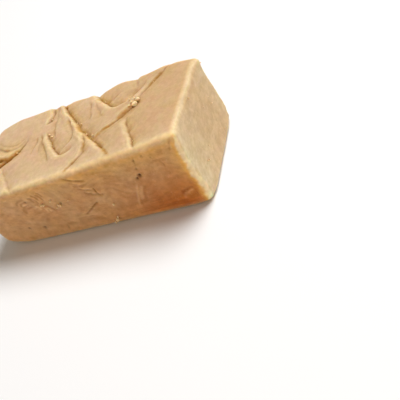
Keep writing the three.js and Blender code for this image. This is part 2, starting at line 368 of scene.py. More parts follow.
def fold_relief(places):
    """Height of the swirl over the plain top, and its masks in the order of their names."""
    warped = places.copy()
    for size, reach in FOLD_WARPS.items():
        wander = [noise_at(places + shift, size, size) for shift in WARP_SHIFTS]
        warped += reach * np.stack(wander, axis=1)
    holed = smooth(0.5 + PATCH_CONTRAST * noise_at(places + HOLE_SHIFT, HOLE_SIZE, HOLE_SIZE))
    marks = {name: np.zeros(len(places)) for name in ("cleft_squared", "lip", *FOLD_MASKS)}
    for number, (name, (depth, sharp, lip, _)) in enumerate(FOLDS.items()):
        press_fold(marks, places, warped, holed, number, FOLD_LINES[name], depth, sharp, lip)
    for wedge in TORN_WEDGES.values():
        tear_wedge(marks, warped, holed, *wedge)
    bits = np.abs(noise_at(places, TORN_SIZE, TORN_SIZE))
    bits += TORN_FINE * noise_at(places, TORN_SIZE / 2, TORN_SIZE / 2)
    height = marks["lip"] - np.sqrt(marks["cleft_squared"]) + DRAG_LINE_HEIGHT * marks["drag"]
    height += TORN_HEIGHT * marks["torn_and_shaded"] * bits - HOLE_DEPTH * marks["hole"]
    height += LUMP_HEIGHT * noise_at(places, LUMP_SIZE, LUMP_SIZE)
    marks["drag"] = np.clip(marks["drag"], -1, 1)
    return height, [marks[name] for name in FOLD_MASKS]


# Marks of the front, along and up it: pits with width and depth, cracks with depth and points
FRONT_PITS = [
    (32.9, 21.8, 0.75, 1.2), (31.3, 20.7, 0.55, 0.9), (-33.1, 9.6, 0.6, 0.4), (-25.6, 7.6, 0.8, 0.6),
    (-14.7, 4.4, 0.5, 0.35), (-7.5, 19.2, 0.5, 0.5), (-22.7, 24.4, 0.6, 0.3), (35.0, 28.6, 0.45, 0.3),
    (33.7, 25.2, 0.4, 0.3), (39.2, 29.4, 0.45, 0.3), (42.2, 28.0, 0.35, 0.25),
]
FRONT_CRACKS = [
    (0.45, [(9.4, 15.5), (3.6, 12.4), (-2.1, 9)]),
    (0.45, [(11.5, 23.1), (11.4, 20.7), (11.8, 18.7), (14.2, 18)]),
    (0.4, [(2.2, 31.6), (4.4, 29.4), (9.5, 27.2)]),
    (0.13, [(36, 30.6), (34.9, 28), (33.6, 24.4)]),
    (0.2, [(52.2, 31.6), (51.4, 30.2), (50.6, 28)]),
    (0.2, [(44.6, 26.2), (45.2, 24), (44.7, 21.9)]),
    (0.2, [(45.8, 7.1), (50, 7.5), (48.6, 3.8)]),
]

# Lines dragged side by side: the first's start, step, stroke, bow, number, and depth (below 0 for ridges)
FRONT_DRAGS = {
    "edge_pull": ((3.4, 29.6), (0.5, -1.5), (7, -3), (0, -0.5), 7, 0.2),
    "blade_turn": ((-14.6, 29), (-1.5, -0.5), (2.6, -6), (0.5, 0.4), 5, 0.18),
    "half_swirl": ((-21.5, 25.8), (0.2, -1.7), (-7, -4), (-1.2, 0.9), 4, 0.18),
    "small_swirl": ((-20, 21), (1.4, -0.6), (2.2, -4.4), (0.8, 0.2), 4, -0.18),
    "base_pull": ((-38, 3.4), (6, 0.8), (22, -0.3), (0, 0.4), 6, 0.14),
    "blade_stop": ((30.6, 19.4), (0.4, -0.6), (-8.5, -17), (-0.4, 0), 3, -0.16),
    "torn_flakes": ((43.2, 6.2), (1.3, 0.9), (4.4, 1.2), (0, 0.5), 3, -0.24),
}
DRAG_JITTER = 0.6
STROKE_SHARES = (0.5, 1.1)
BOW_SHARES = (0.6, 1.4)

# Ranges of random marks on other faces: pits (height, width and depth), cracks and dragged lines
PIT_RANGES = ((3, HEIGHT - 4), (0.35, 0.65), (0.15, 0.5))
CRACK_STARTS = (8, HEIGHT - 7)
CRACK_BEND = np.array((4, 2.5))
CRACK_DEPTHS = (0.15, 0.4)
DRAG_STARTS = (10, HEIGHT - 5)
DRAG_STROKES = ((-7, -5), (7, -1))
DRAG_STEPS = ((-1, -1.6), (1, -1))
DRAG_BOW = 0.8
DRAG_COUNT = 4
DRAG_DEPTH = 0.13
MARK_SEED = 5

# A cut face's streaks and unevenness, as height, length and width; the streaks' curl; patches of scratches
STREAKS = ((0.1, 4.5, 1.8), (0.09, 2.2, 1.0))
FACE_UNEVEN = ((0.16, 9, 7), (0.05, 1.4, 1.2))
# Relief at which the painted shading of streaks is full
FULL_STREAK = 0.15
CURL_HEIGHT = 5.0
CURL_SIZE = (14, 11)
SCRATCH_DEPTH = 0.06
SCRATCH_SIZE = (8, 2.5)
SCRATCH_WIDTH = 0.2
SCRATCHED_SIZE = (11, 8)

# Furrows of cracks and dragged lines, burrs and breaks, the depths at which the painted shade of marks is
# darkest, and the painted shade of dragged lines
DRAG_WIDTH = 0.55
CRACK_WIDTH = 0.42
FURROW_REACH = 4
BURR_SHARE = 0.7
BURR_PLACE = 2
CRACK_BREAK = 1.2
CRACK_SHOWN = 0.75
CRACK_LIMITS = (0.15, 1)
DARK_PIT = 0.6
DARK_CRACK = 0.5
DARK_DRAG = 0.2
DRAG_SHADE = 0.15


def dragged_lines(draw, start, step, stroke, bow, count, depth):
    """Lines side by side, each bowed halfway and unlike the next, with their depth."""
    firsts = start + np.arange(count)[:, None] * step
    firsts += draw.uniform(-DRAG_JITTER, DRAG_JITTER, (count, 2))
    lasts = firsts + draw.uniform(*STROKE_SHARES, (count, 1)) * stroke
    middles = (firsts + lasts) / 2 + draw.uniform(*BOW_SHARES, (count, 1)) * bow
    return [(depth, list(line)) for line in np.stack([firsts, middles, lasts], axis=1)]


def random_marks(draw, half, pit_count, line_count):
    """Pits, cracks and dragged lines for a face of that half width."""
    low, high = zip((-half, half), *PIT_RANGES)
    pits = draw.uniform(low, high, (pit_count, len(low))).tolist()
    cracks, drags = [], []
    for _ in range(line_count):
        start = draw.uniform(*zip((-half, half), CRACK_STARTS))
        bends = draw.uniform(-CRACK_BEND, CRACK_BEND, (2, 2))
        cracks.append((draw.uniform(*CRACK_DEPTHS), [start, start + bends[0], start + bends.sum(0)]))
        start = draw.uniform(*zip((-half, half), DRAG_STARTS))
        stroke = draw.uniform(*DRAG_STROKES)
        step = draw.uniform(*DRAG_STEPS)
        bow = draw.uniform(-DRAG_BOW, DRAG_BOW, 2)
        drags += dragged_lines(draw, start, step, stroke, bow, DRAG_COUNT, DRAG_DEPTH)
    return pits, cracks, drags


def furrow(places, points, width):
    """Profile of a line cut into a face: 1 in its middle, with a burr beside it."""
    line = spline_through(points, FOLD_STEP)
    near = beside(line, places, FURROW_REACH * width)
    way, side, along = nearest_on(line, places[near])
    widths_away = np.linalg.norm(way, axis=1) / width
    burr = BURR_SHARE * np.clip(side, 0, 1) * bell(widths_away - BURR_PLACE, 1)
    return near, fold_strength(along) * (bell(widths_away, 1) - burr)


def knife_marks(places, pits, cracks, drags, coarse):
    """Relief of a cut face at these places, and masks of painted light: the shading of its streaks, painted
    shade in its cracks, dragged lines and pits, and painted highlight on its ridges.
    """
    curl = places.copy()
    curl[:, 1] += CURL_HEIGHT * noise_at(places + CURL_SHIFT, *CURL_SIZE)
    fine = sum(height * noise_at(curl, coarse * length, coarse * width) for height, length, width in STREAKS)
    scratched = smooth(PATCH_CONTRAST * noise_at(places + SCRATCHED_SHIFT, *SCRATCHED_SIZE))
    scratches = noise_at(curl + SCRATCH_SHIFT, *(coarse * size for size in SCRATCH_SIZE))
    fine -= SCRATCH_DEPTH * scratched * bell(scratches, SCRATCH_WIDTH)
    relief = sum(height * noise_at(places, length, width) for height, length, width in FACE_UNEVEN)
    # Masks of painted shade in furrows and pits, and of painted highlight on ridges
    lines, spots, ridges = np.zeros((3, len(places)))
    for x, z, width, depth in pits:
        pit = bell(np.hypot(places[:, 0] - x, places[:, 1] - z), width)
        relief -= depth * pit
        # Painted shade in the pit, darker the deeper it is
        spots = np.maximum(spots, min(1, depth / DARK_PIT) * pit)
    for depth, points in drags:
        near, cut = furrow(places, points, DRAG_WIDTH)
        fine[near] -= depth * cut
        # Painted shade in dragged furrows, painted highlight on dragged ridges
        raise_to(ridges if depth < 0 else lines, near, min(1, abs(depth) / DARK_DRAG) * DRAG_SHADE * cut)
    broken = np.clip(CRACK_SHOWN + noise_at(places, CRACK_BREAK, CRACK_BREAK), *CRACK_LIMITS)
    for depth, points in cracks:
        near, cut = furrow(places, points, CRACK_WIDTH)
        relief[near] -= depth * cut
        # Painted shade in the crack
        raise_to(lines, near, min(1, depth / DARK_CRACK) * cut * broken[near])
    return relief + fine, np.clip(fine / FULL_STREAK, -1, 1), lines, spots, ridges


# Each face: the way it looks, the way along it, its half width, its coarseness, its random pits and lines
FACES = {
    "front": ((0, -1, 0), (1, 0, 0), LENGTH / 2, 1.0, 0, 0),
    "back": ((0, 1, 0), (-1, 0, 0), LENGTH / 2, 1.0, 14, 6),
    "cut_end": ((1, 0, 0), (0, 1, 0), WIDTH / 2, 0.9, 0, 0),
    "tray_end": ((-1, 0, 0), (0, -1, 0), WIDTH / 2, 1.4, 5, 2),
}
FACE_MARGIN = 3.0
FACE_START = 3.0


def side_relief(points, facing):
    """How far marks move the sides' points, with the faces' painted streak shading, painted shade in cracks
    and pits, and painted highlight on ridges.
    """
    draw = np.random.default_rng(MARK_SEED)
    totals = np.zeros((5, len(points)))
    for name, (out, along, half, coarse, pit_count, line_count) in FACES.items():
        marks = random_marks(draw, half - FACE_MARGIN, pit_count, line_count)
        if name == "front":
            drags = [line for fan in FRONT_DRAGS.values() for line in dragged_lines(draw, *fan)]
            marks = FRONT_PITS, FRONT_CRACKS, drags
        share = np.clip(facing @ out, 0, 1) ** 2
        seen = share > 0
        places = np.column_stack([points[seen] @ along, points[seen, 2]])
        totals[:, seen] += share[seen] * np.array(knife_marks(places, *marks, coarse))
    totals[0] *= ramp(points[:, 2], 0, FACE_START)
    return totals


def edge_radius(x):
    """Radius of the bar's edges, which grows towards the tray end."""
    towards_tray = smooth(1 - (x + LENGTH / 2) / TRAY_EDGE_REACH)
    return mixed(CUT_EDGE_RADIUS, TRAY_EDGE_RADIUS, towards_tray)


def round_edges(points):
    """The sharp box's points moved onto the rounded one, and the way they face."""
    radius = edge_radius(points[:, 0])[:, None]
    reach = BOX_CORNER - radius
    low = np.concatenate([-reach[:, :2], radius], axis=1)
    core = np.clip(points, low, reach)
    out = points - core
    size = np.linalg.norm(out, axis=1, keepdims=True)
    facing = out / np.where(size > 0, size, 1)
    return np.where(size > 0, core + radius * facing, points), facing


def corner_moves(points):
    """How far the worn and drawn-out corners have moved."""
    moves = np.zeros(points.shape)
    for corner, move, reach in CORNERS.values():
        away = points - BOX_CORNER * corner
        moves += bell(np.linalg.norm(away, axis=1), reach)[:, None] * move
    return moves


# Light through the edges: its reach, the height where it is full, and its growth along the bar
GLOW_REACH = 4.0
GLOW_START = 8.0
GLOW_LEAST = 0.5
GLOW_STRETCH = (-40, 60)

# Painted light in strips along the front's top and upright edges, where light catches them and shines
# through: widths on the front and beside it, turn, shift and growth
TOP_STRIP = (2.9, 2.9)
UPRIGHT_STRIP = (5.0, 3.6)
STRIP_TURN = 8.0
STRIP_SHIFT = 1.0
SHIFT_STRETCH = (-10, 35)
TOP_STRIP_LEAST = 0.4
TOP_STRIP_STRETCH = (-30, 40)

# How ragged the edges are: warps by their size, and bristles across each strip
EDGE_WARPS = {6.0: 1.1, 2.5: 0.6}
BRISTLE_WIDTH = 1.3
BRISTLE_LENGTH = 5.0
TOP_BRISTLE = 0.3
UPRIGHT_BRISTLE = 0.8

# Points this close to a face are on it
ON_FACE = 0.001


def edge_masks(points):
    """Closeness of the sharp box's points to glowing edges, and the strips of painted light along the
    front's top edge and its upright one.
    """
    x, y, z = points.T
    below_top, from_end = HEIGHT - z, LENGTH / 2 - x
    up_bristles = noise_at(points, BRISTLE_LENGTH, BRISTLE_LENGTH, BRISTLE_WIDTH)
    top_bristles = noise_at(points, BRISTLE_WIDTH, BRISTLE_LENGTH, BRISTLE_LENGTH)
    ragged = sum(reach * noise_at(points, size, size, size) for size, reach in EDGE_WARPS.items())
    ragged += np.where(from_end < below_top, UPRIGHT_BRISTLE * up_bristles, TOP_BRISTLE * top_bristles)
    to_ends, to_sides = LENGTH / 2 - np.abs(x), WIDTH / 2 - np.abs(y)
    to_top = np.where(to_ends < to_sides, HEIGHT, below_top)
    glow = np.exp(-np.clip(np.minimum(to_ends + to_sides, to_top) + ragged, 0, None) / GLOW_REACH)
    on_front = y < ON_FACE - WIDTH / 2
    beside_front = (z > HEIGHT - ON_FACE) | (from_end < ON_FACE)
    away = np.where(beside_front, y + WIDTH / 2, np.inf)
    away = np.where(on_front, -np.minimum(below_top, from_end), away)
    away += ragged - STRIP_SHIFT * (1 - ramp(x, *SHIFT_STRETCH)) * (away < np.inf)
    upright = smooth(0.5 + (below_top - from_end) / STRIP_TURN)
    on_face, beside_face = [mixed(a, b, upright) for a, b in zip(TOP_STRIP, UPRIGHT_STRIP)]
    strip = smooth(1 - np.where(away < 0, -away / on_face, away / beside_face))
    along_top = mixed(TOP_STRIP_LEAST, 1, ramp(x, *TOP_STRIP_STRETCH))
    return glow, strip * (1 - upright) * along_top, strip * upright


# Painted warm shade in the top's hollows, as golden patches: place, strength and reach along and across the
# bar
HOLLOW_SHADE_PATCHES = {
    "tray_valley": (-39, 2, 1.0, 9, 4.5),
    "dish": (11, 19.5, 0.6, 5, 3.5),
}

# Where the colour changes over the bar, some of it painted light: the start and length of each change
WARM_STRETCH = (-5, 50)
# The cut end is paler towards the front and the base
END_PALE_STRETCH = (12, -40)
END_PALE_TOP_LOSS = 0.4
# Painted warm bounce light on the front's lower corner by the cut end
WARM_BOUNCE_STRETCH = (5, 42)
WARM_BOUNCE_HEIGHTS = (30, -26)
WARM_BOUNCE_GLOW_LOSS = 0.5
# Painted light along the base of the sides
FOOT_REACH = 6.5
FOOT_STRETCH = (-25, 60)
RIM_REACH = 5.6


def shade_masks(points, facing):
    """Where the bar is paler or darker than its middle: its rim, painted warm shade in the top's hollows, a
    cut end paler towards the front and the base, painted warm bounce light on the front's corner, and
    painted light along the base of the sides.
    """
    x, y, z = points.T
    flat = np.clip(facing[:, 2], 0, 1)
    to_front = np.clip(-facing[:, 1], 0, 1)
    return {
        "warm": flat * ramp(x, *WARM_STRETCH),
        "rim": flat * np.exp(-(WIDTH / 2 + y) / RIM_REACH),
        # Painted warm shade in the top's hollows
        "hollow_shade": flat * soft_mounds(x, y, HOLLOW_SHADE_PATCHES),
        # The cut end is paler towards the front and the base
        "end_pale": facing[:, 0] ** 2 * ramp(y, *END_PALE_STRETCH) * (1 - END_PALE_TOP_LOSS * z / HEIGHT),
        # Painted warm bounce light on the front's lower corner
        "warm_bounce": to_front * ramp(x, *WARM_BOUNCE_STRETCH) * ramp(z, *WARM_BOUNCE_HEIGHTS),
        # Painted light along the base of the sides
        "lit_foot": (1 - flat) * bell(z, FOOT_REACH),
        # Painted warm bounce light along the base, towards the cut end
        "foot_warm_bounce": ramp(x, *FOOT_STRETCH),
    }


# The turn at which a rounded edge's painted highlight is full, how fast it gets there, and how strong the
# painted highlight on ridges is
EDGE_TURN = 0.29
EDGE_POWER = 0.6
RIDGE_HIGHLIGHT = 2.0


def shape_points(points):
    """The bar's surface, made of the sharp box's points, and masks for the material, many of them painted
    light and shade.
    """
    glow, front_edge, upright_edge = edge_masks(points)
    points, facing = round_edges(points)
    shades = shade_masks(points, facing)
    # The painted warm bounce is weaker where the edges glow
    shades["warm_bounce"] *= 1 - WARM_BOUNCE_GLOW_LOSS * glow
    x, y = points[:, :2].T.copy()
    along, across, up = 2 * x / LENGTH, y / WIDTH, points[:, 2] / HEIGHT
    top_share = smooth(1 - (HEIGHT - points[:, 2]) / RIM_FADE)
    near_top = top_share > 0
    relief = np.zeros(len(points))
    fold_marks = np.zeros((len(FOLD_MASKS), len(points)))
    relief[near_top], fold_marks[:, near_top] = fold_relief(points[near_top, :2])
    # Besides the moves: painted streak shading, painted shade in cracks and pits, and painted highlight on
    # ridges
    moves, side_streak_shading, cracks, pits, ridges = side_relief(points, facing)
    drawn = corner_moves(points)
    points += moves[:, None] * facing
    points[:, 0] += END_LEAN * smooth(along) * (1 - up)
    points[:, 1] += CUT_LEAN * along * (2 * up - 1) * smooth(0.5 - across)
    drift = np.sin(x / WANDER_LENGTH + WANDER_TURN * up) * smooth(up / WANDER_START)
    points[:, 1] += CUT_WANDER * drift * 2 * across
    rise = NEAR_RIM_RISE * along * (0.5 - across)
    points[:, 2] += top_share * (rise + relief + soft_mounds(x, y, SWELLS))
    points += drawn

    flat = np.clip(facing[:, 2], 0, 1)
    # Fold masks: painted shade in seams and holes, tears partly shaded, painted highlight on banks, and drag
    # lines
    seam_shade, holes, torn_and_shaded, bank_highlight, drags = fold_marks * top_share * flat
    glow_share = ramp(points[:, 2], 0, GLOW_START) * mixed(GLOW_LEAST, 1, ramp(x, *GLOW_STRETCH))
    masks = {
        # Painted highlight where the edges round over, and painted light in strips along the front's top and
        # upright edges
        "edge": np.clip((1 - np.abs(facing).max(1)) / EDGE_TURN, 0, 1) ** EDGE_POWER,
        "front_edge": front_edge,
        "upright_edge": upright_edge,
        # Painted shade in fold clefts, cracks, dragged lines and holes
        "seam_shade": np.maximum.reduce([seam_shade, cracks, holes]),
        # Painted shade in pits
        "pit": pits,
        # Tears, their colour partly painted shade
        "torn_and_shaded": torn_and_shaded,
        # Painted highlights on fold banks and on the ridges of the sides
        "bank_highlight": np.maximum(bank_highlight, RIDGE_HIGHLIGHT * ridges),
        # Painted shading of the relief of drag lines and streaks: lighter on ridges, darker in furrows
        "streak_shading": drags + side_streak_shading,
        "cut": 1 - flat**2,
        "end": facing[:, 0] ** 2,
        "glow": glow * (1 - flat) * glow_share,
        **shades,
    }
    return points, masks


def mesh_lines(half, start_radius, end_radius, step):
    """Places of the mesh's lines, closer together over the rounded edges."""
    rounding = (np.linspace(0, 1, ROUNDING_LINES) ** ROUNDING_POWER)[:-1]
    middle_span = 2 * half - start_radius - end_radius
    middle = np.linspace(-half + start_radius, half - end_radius, round(middle_span / step) + 1)
    return np.concatenate([-half + start_radius * rounding, middle, (half - end_radius * rounding)[::-1]])


def sharp_box():
    """The sharp box's points, top faces, rings of side faces, base, and the sides' names."""
    xs = mesh_lines(LENGTH / 2, TRAY_EDGE_RADIUS, CUT_EDGE_RADIUS, TOP_STEP)
    ys = mesh_lines(WIDTH / 2, CUT_EDGE_RADIUS, CUT_EDGE_RADIUS, TOP_STEP)
    heights = mesh_lines(HEIGHT / 2, TRAY_EDGE_RADIUS, CUT_EDGE_RADIUS, SIDE_STEP)[::-1] + HEIGHT / 2
    nx, ny = len(xs), len(ys)
    grid = np.stack(np.meshgrid(xs, ys, indexing="ij"), axis=2)
    inner = (slice(ROUNDING_LINES, -ROUNDING_LINES),) * 2
    grid[inner] = gather_to_folds(grid[inner].reshape(-1, 2)).reshape(grid[inner].shape)
    flat_grid = grid.reshape(-1, 2)
    index = np.arange(nx * ny).reshape(nx, ny)
    rim = np.concatenate([index[:, 0], index[-1, 1:], index[-2::-1, -1], index[0, -2:0:-1]])
    outline = flat_grid[rim]
    inset = edge_radius(outline[:, :1]) / BOX_CORNER[:2]
    rings = [*[(outline, z) for z in heights[1:]], (outline * (1 - inset), 0.0)]
    places = np.concatenate([flat_grid, *[ring for ring, _ in rings]])
    levels = np.concatenate([np.full(nx * ny, HEIGHT), *[np.full(len(rim), z) for _, z in rings]])

    top = np.stack([index[:-1, :-1], index[1:, :-1], index[1:, 1:], index[:-1, 1:]], axis=2).reshape(-1, 4)
    ring_points = nx * ny + np.arange(len(rings) * len(rim)).reshape(len(rings), -1)
    below, above = ring_points, np.concatenate([rim[None], ring_points[:-1]])
    sides = np.stack([below, np.roll(below, -1, 1), np.roll(above, -1, 1), above], axis=2)
    side_names = np.repeat(["front", "cut_end", "back", "tray_end"], [nx - 1, ny - 1] * 2)
    return np.column_stack([places, levels]), top, sides, ring_points[-1][::-1], side_names


# Where each face lies on the square sheet that the bar unfolds onto, and the sheet's size
SHEET = 172.0
SHEET_PLACES = {
    "top": (1, 1),
    "base": (1, 53),
    "front": (1, 105),
    "back": (1, 138.5),
    "cut_end": (112, 1),
    "tray_end": (112, 35),
}


def on_sheet(face, places):
    """A face's own places on the unfolded sheet, from 0 to 1."""
    return (places + np.array(SHEET_PLACES[face])) / SHEET


def unfolded(sharp, top, sides, base, side_names):
    """Places on the sheet of the corners of every face, in the mesh's order."""
    from_corner = sharp[:, :2] + BOX_CORNER[:2]
    side_places = np.zeros((*sides.shape, 2))
    for name, (_, along, half, *_) in FACES.items():
        steps = side_names == name
        corners = sharp[sides[:, steps]]
        side_places[:, steps] = on_sheet(name, np.stack([corners @ along + half, corners[..., 2]], axis=-1))
    side_places[-1] = on_sheet("base", from_corner[sides[-1]])
    top_places = on_sheet("top", from_corner[top].reshape(-1, 2))
    base_places = on_sheet("base", from_corner[base])
    return np.concatenate([top_places, side_places.reshape(-1, 2), base_places])


def bar_mesh():
    """The bar's closed surface: a grid over the top, rings down the sides and a flat face below."""
    sharp, top, sides, base, side_names = sharp_box()
    points, masks = shape_points(sharp.copy())
    points -= (points.min(0) + points.max(0)) / 2 * (1, 1, 0)
    faces = [*top.tolist(), *sides.reshape(-1, 4).tolist(), base.tolist()]
    mesh = bpy.data.meshes.new("fudge_bar_fine")
    mesh.from_pydata((points * MM).tolist(), [], faces)
    for name, values in masks.items():
        mesh.attributes.new(name, "FLOAT", "POINT").data.foreach_set("value", values)
    sheet_places = unfolded(sharp, top, sides, base, side_names)
    mesh.uv_layers.new(name="OFBake").data.foreach_set("uv", sheet_places.ravel())
    mesh.polygons.foreach_set("use_smooth", np.ones(len(mesh.polygons), bool))
    return mesh


class Wire:
    """A node's output. Sums on wires add Math or Vector Math nodes."""

    def __init__(self, finish, socket):
        self.finish = finish
        self.socket = socket

    def sum(self, operation, first, second):
        vector = any(isinstance(w, Wire) and w.socket.type == "VECTOR" for w in (first, second))
        kind = "ShaderNodeVectorMath" if vector else "ShaderNodeMath"
        return self.finish.add(kind, {"operation": operation}, {0: first, 1: second})

    def __add__(self, other):
        return self.sum("ADD", self, other)

    __radd__ = __add__

    def __sub__(self, other):
        return self.sum("SUBTRACT", self, other)

    def __rsub__(self, other):
        return self.sum("SUBTRACT", other, self)

    def __mul__(self, other):
        return self.sum("MULTIPLY", self, other)

    __rmul__ = __mul__


class Finish:
    """A material's node tree, with one method that adds any node."""

    def __init__(self, name):
        self.material = bpy.data.materials.new(name)
        self.material.use_nodes = True
        self.tree = self.material.node_tree
        self.tree.nodes.clear()

    def add(self, kind, settings=None, sockets=None, out=0):
        """Adds a node with settings and its sockets' values or links. Returns one output as a wire."""
        node = self.tree.nodes.new(kind)
        for name, value in (settings or {}).items():
            setattr(node, name, value)
        for key, value in (sockets or {}).items():
            socket = self.find(node.inputs, key)
            if isinstance(value, Wire):
                self.tree.links.new(value.socket, socket)
            else:
                socket.default_value = value
        return Wire(self, self.find(node.outputs, out)) if node.outputs else None

    @staticmethod
    def find(sockets, key):
        usable = [s for s in sockets if s.enabled]
        return usable[key] if isinstance(key, int) else next(s for s in usable if s.name == key)

    def mix(self, share, first, second, blend="MIX"):
        """A colour between two colours."""
        settings = {"data_type": "RGBA", "blend_type": blend}
        return self.add("ShaderNodeMix", settings, {"Factor": share, "A": first, "B": second})

    def mask(self, name):
        """A mask that the mesh carries."""
        return self.add("ShaderNodeAttribute", {"attribute_name": name}, out="Fac")

    def place(self):
        """Places on the piece, in millimetres."""
        return self.add("ShaderNodeTexCoord", out="Object") * ((1 / MM,) * 3)

    def noise(self, place, size, detail=2.0, roughness=0.5):
        """Noise from 0 to 1, with features of about that size in millimetres."""
        sockets = {"Vector": place, "Scale": 1 / size, "Detail": detail, "Roughness": roughness}
        return self.add("ShaderNodeTexNoise", None, sockets)

    def between(self, value, low, high):
        """0 below low, 1 above high, and smooth in between."""
        sockets = {"Value": value, "From Min": low, "From Max": high}
        return self.add("ShaderNodeMapRange", {"interpolation_type": "SMOOTHSTEP"}, sockets)

    def pattern(self, place, size, detail, roughness, low, high):
        """Noise drawn out to be 0 below low and 1 above high."""
        return self.between(self.noise(place, size, detail, roughness), low, high)

    def close(self, **sockets):
        """Ends the tree in a shader with these sockets, underscores standing for spaces."""
        named = {name.replace("_", " "): value for name, value in sockets.items()}
        shader = self.add("ShaderNodeBsdfPrincipled", None, named)
        self.add("ShaderNodeOutputMaterial", None, {"Surface": shader})
        return self.material


# Colours of fudge and nut, and of the light and shade painted on the fudge, as linear red, green and blue
TAN_ROSY = (0.648, 0.424, 0.256, 1)
TAN_GOLD = (0.633, 0.444, 0.246, 1)
WARM_TINT = (0.92, 0.88, 0.79, 1)
CREAM = (0.73, 0.59, 0.35, 1)
# Painted warm shade in the top's hollows
VALLEY_SHADE_GOLD = (0.73, 0.49, 0.24, 1)
# Painted light on the edges: highlight where they round over, highlight on the upright edge, and glow on the
# front's top edge
EDGE_HIGHLIGHT = (0.72, 0.59, 0.36, 1)
UPRIGHT_EDGE_HIGHLIGHT = (0.95, 0.78, 0.49, 1)
FRONT_EDGE_GLOW = (0.86, 0.635, 0.35, 1)
# Painted shade in pits
PIT_SHADE_BROWN = (0.09, 0.018, 0.001, 1)
# Colour of tears: partly broken crust, partly painted warm shade
TOFFEE_AND_SHADE = (0.56, 0.3, 0.065, 1)
# Painted shade in seams, cracks and holes
SEAM_SHADE_BROWN = (0.3, 0.115, 0.007, 1)
# Colours of the front and back: partly the cut's own colour, partly painted shade
SHADED_CUT_TAN = (0.645, 0.372, 0.164, 1)
SHADED_CUT_RUST = (0.635, 0.33, 0.125, 1)
# Painted light along the base of the sides
FOOT_LIT_TAN = (0.8, 0.45, 0.195, 1)
# Streaks along the base, coloured with painted warm bounce light
FOOT_BOUNCE_ORANGE = (0.86, 0.43, 0.15, 1)
FOOT_BOUNCE_RUST = (0.6, 0.27, 0.085, 1)
# Painted warm bounce light
WARM_BOUNCE_TINT = (0.85, 0.475, 0.13, 1)
# Colour of the cut end
END_TAN = (0.62, 0.42, 0.218, 1)
GOLDEN = (0.85, 0.505, 0.11, 1)
NUT_PALE = (1.0, 0.76, 0.43, 1)
NUT_TAN = (0.66, 0.43, 0.2, 1)

# Patterns in the fudge: size, detail and roughness, and the noise at which they start and are full
MOTTLE = (6, 4, 0.6, 0.38, 0.62)
CLOUD = (12, 3, 0.5, 0.38, 0.62)
SPECK = (0.55, 1, 0.5, 0.66, 0.74)
TEAR = (2.5, 2, 0.5, 0.4, 0.6)
PATCH = (2.2, 3, 0.6, 0.3, 0.7)
BLOTCH = (3.5, 3, 0.5, 0.35, 0.65)
FOOT_STREAK = (1.0, 3, 0.5, 0.4, 0.6)
END_STREAK = (1.1, 3, 0.5, 0.35, 0.65)
GRAIN = (0.8, 4, 0.65)
GRAIN_RANGE = (0.3, 0.7)

# How places are squeezed along, across and up the bar, which draws out the streaks
FOOT_SQUEEZE = (0.1, 0.1, 1.0)
END_SQUEEZE = (1.0, 0.4, 1.0)

# How much of its colour a mask lays over the fudge, where that isn't all of it
COVER = {
    "rim": 0.9, "lit_foot": 0.8, "cut": 0.9, "end_pale": 0.7, "end": 0.9, "edge": 0.85, "bank_highlight": 0.6,
    "torn_and_shaded": 0.9, "seam_shade": 0.9,
}
SPECK_COVER = 0.25
END_SPECK_COVER = 0.35
TEAR_LEAST = 0.6

# The upright edge's mask where its painted golden glow comes in, and where that turns to a painted cream
# highlight
FRINGE_RANGE = (0, 0.7)
CREAM_RANGE = (0.4, 0.9)

# The fudge's lightness: its middle, what each pattern and the painted shading of streaks add to it, and what
# the end takes off
MIDDLE_TONE = 0.97
GRAIN_TONE = 0.08
PATCH_TONE = 0.12
END_PATCH_LOSS = 0.06
CUT_BLOTCH_TONE = 0.12
END_BLOTCH_TONE = 0.04
RIM_TONE = 0.08
END_STREAK_TONE = 0.05
# Painted shading of streaks: lighter on their ridges, darker in their furrows
STREAK_SHADING_TONE = 0.2
END_STREAK_LOSS = 0.7

# How much each part of the colour follows the tone: dark streaks are redder
TONE_SHARES = {"Red": 0.75, "Green": 1.0, "Blue": 1.3}

# The fudge's pores, as size, detail and roughness, and their share in the bump; the fudge's gloss
FINE_PORES = (0.5, 3, 0.6)
COARSE_PORES = (1.8, 2)
PORE_SHARE = 0.6
FUDGE_ROUGHNESS = 0.46
GRAIN_ROUGHNESS = 0.16


def lay(finish, colour, mask, other, blend="MIX"):
    """Lays another colour over this one where the mask is."""
    share = finish.mask(mask)
    return finish.mix(share * COVER[mask] if mask in COVER else share, colour, other, blend)


def face_colour(finish, place, end):
    """Colour of the top, the cut faces and the end, before their edges and marks, with painted warm shade in
    the top's hollows, painted shade partly darkening the front and back, and painted light along their base.
    """
    colour = finish.mix(finish.pattern(place, *MOTTLE), TAN_ROSY, TAN_GOLD)
    colour = lay(finish, colour, "warm", WARM_TINT, "MULTIPLY")
    rim = finish.mask("rim")
    colour = finish.mix(rim * rim * COVER["rim"], colour, CREAM)
    # Painted warm shade in the top's hollows
    colour = lay(finish, colour, "hollow_shade", VALLEY_SHADE_GOLD)
    foot_streaks = finish.pattern(place * FOOT_SQUEEZE, *FOOT_STREAK)
    # Streaks along the base, partly the fudge's own, coloured with painted warm bounce light towards the cut
    # end
    bounce_foot = finish.mix(foot_streaks, FOOT_BOUNCE_RUST, FOOT_BOUNCE_ORANGE)
    foot_colour = lay(finish, FOOT_LIT_TAN, "foot_warm_bounce", bounce_foot)
    # Front and back: partly the cut's own colour, partly painted shade
    cut_colour = finish.mix(finish.pattern(place, *CLOUD), SHADED_CUT_TAN, SHADED_CUT_RUST)
    # Painted light along the base of the sides
    cut_colour = lay(finish, cut_colour, "lit_foot", foot_colour)
    colour = lay(finish, colour, "cut", cut_colour)
    # The cut end, paler towards the front and the base
    end_colour = lay(finish, END_TAN, "end_pale", CREAM)
    return finish.mix(end * COVER["end"], colour, end_colour)


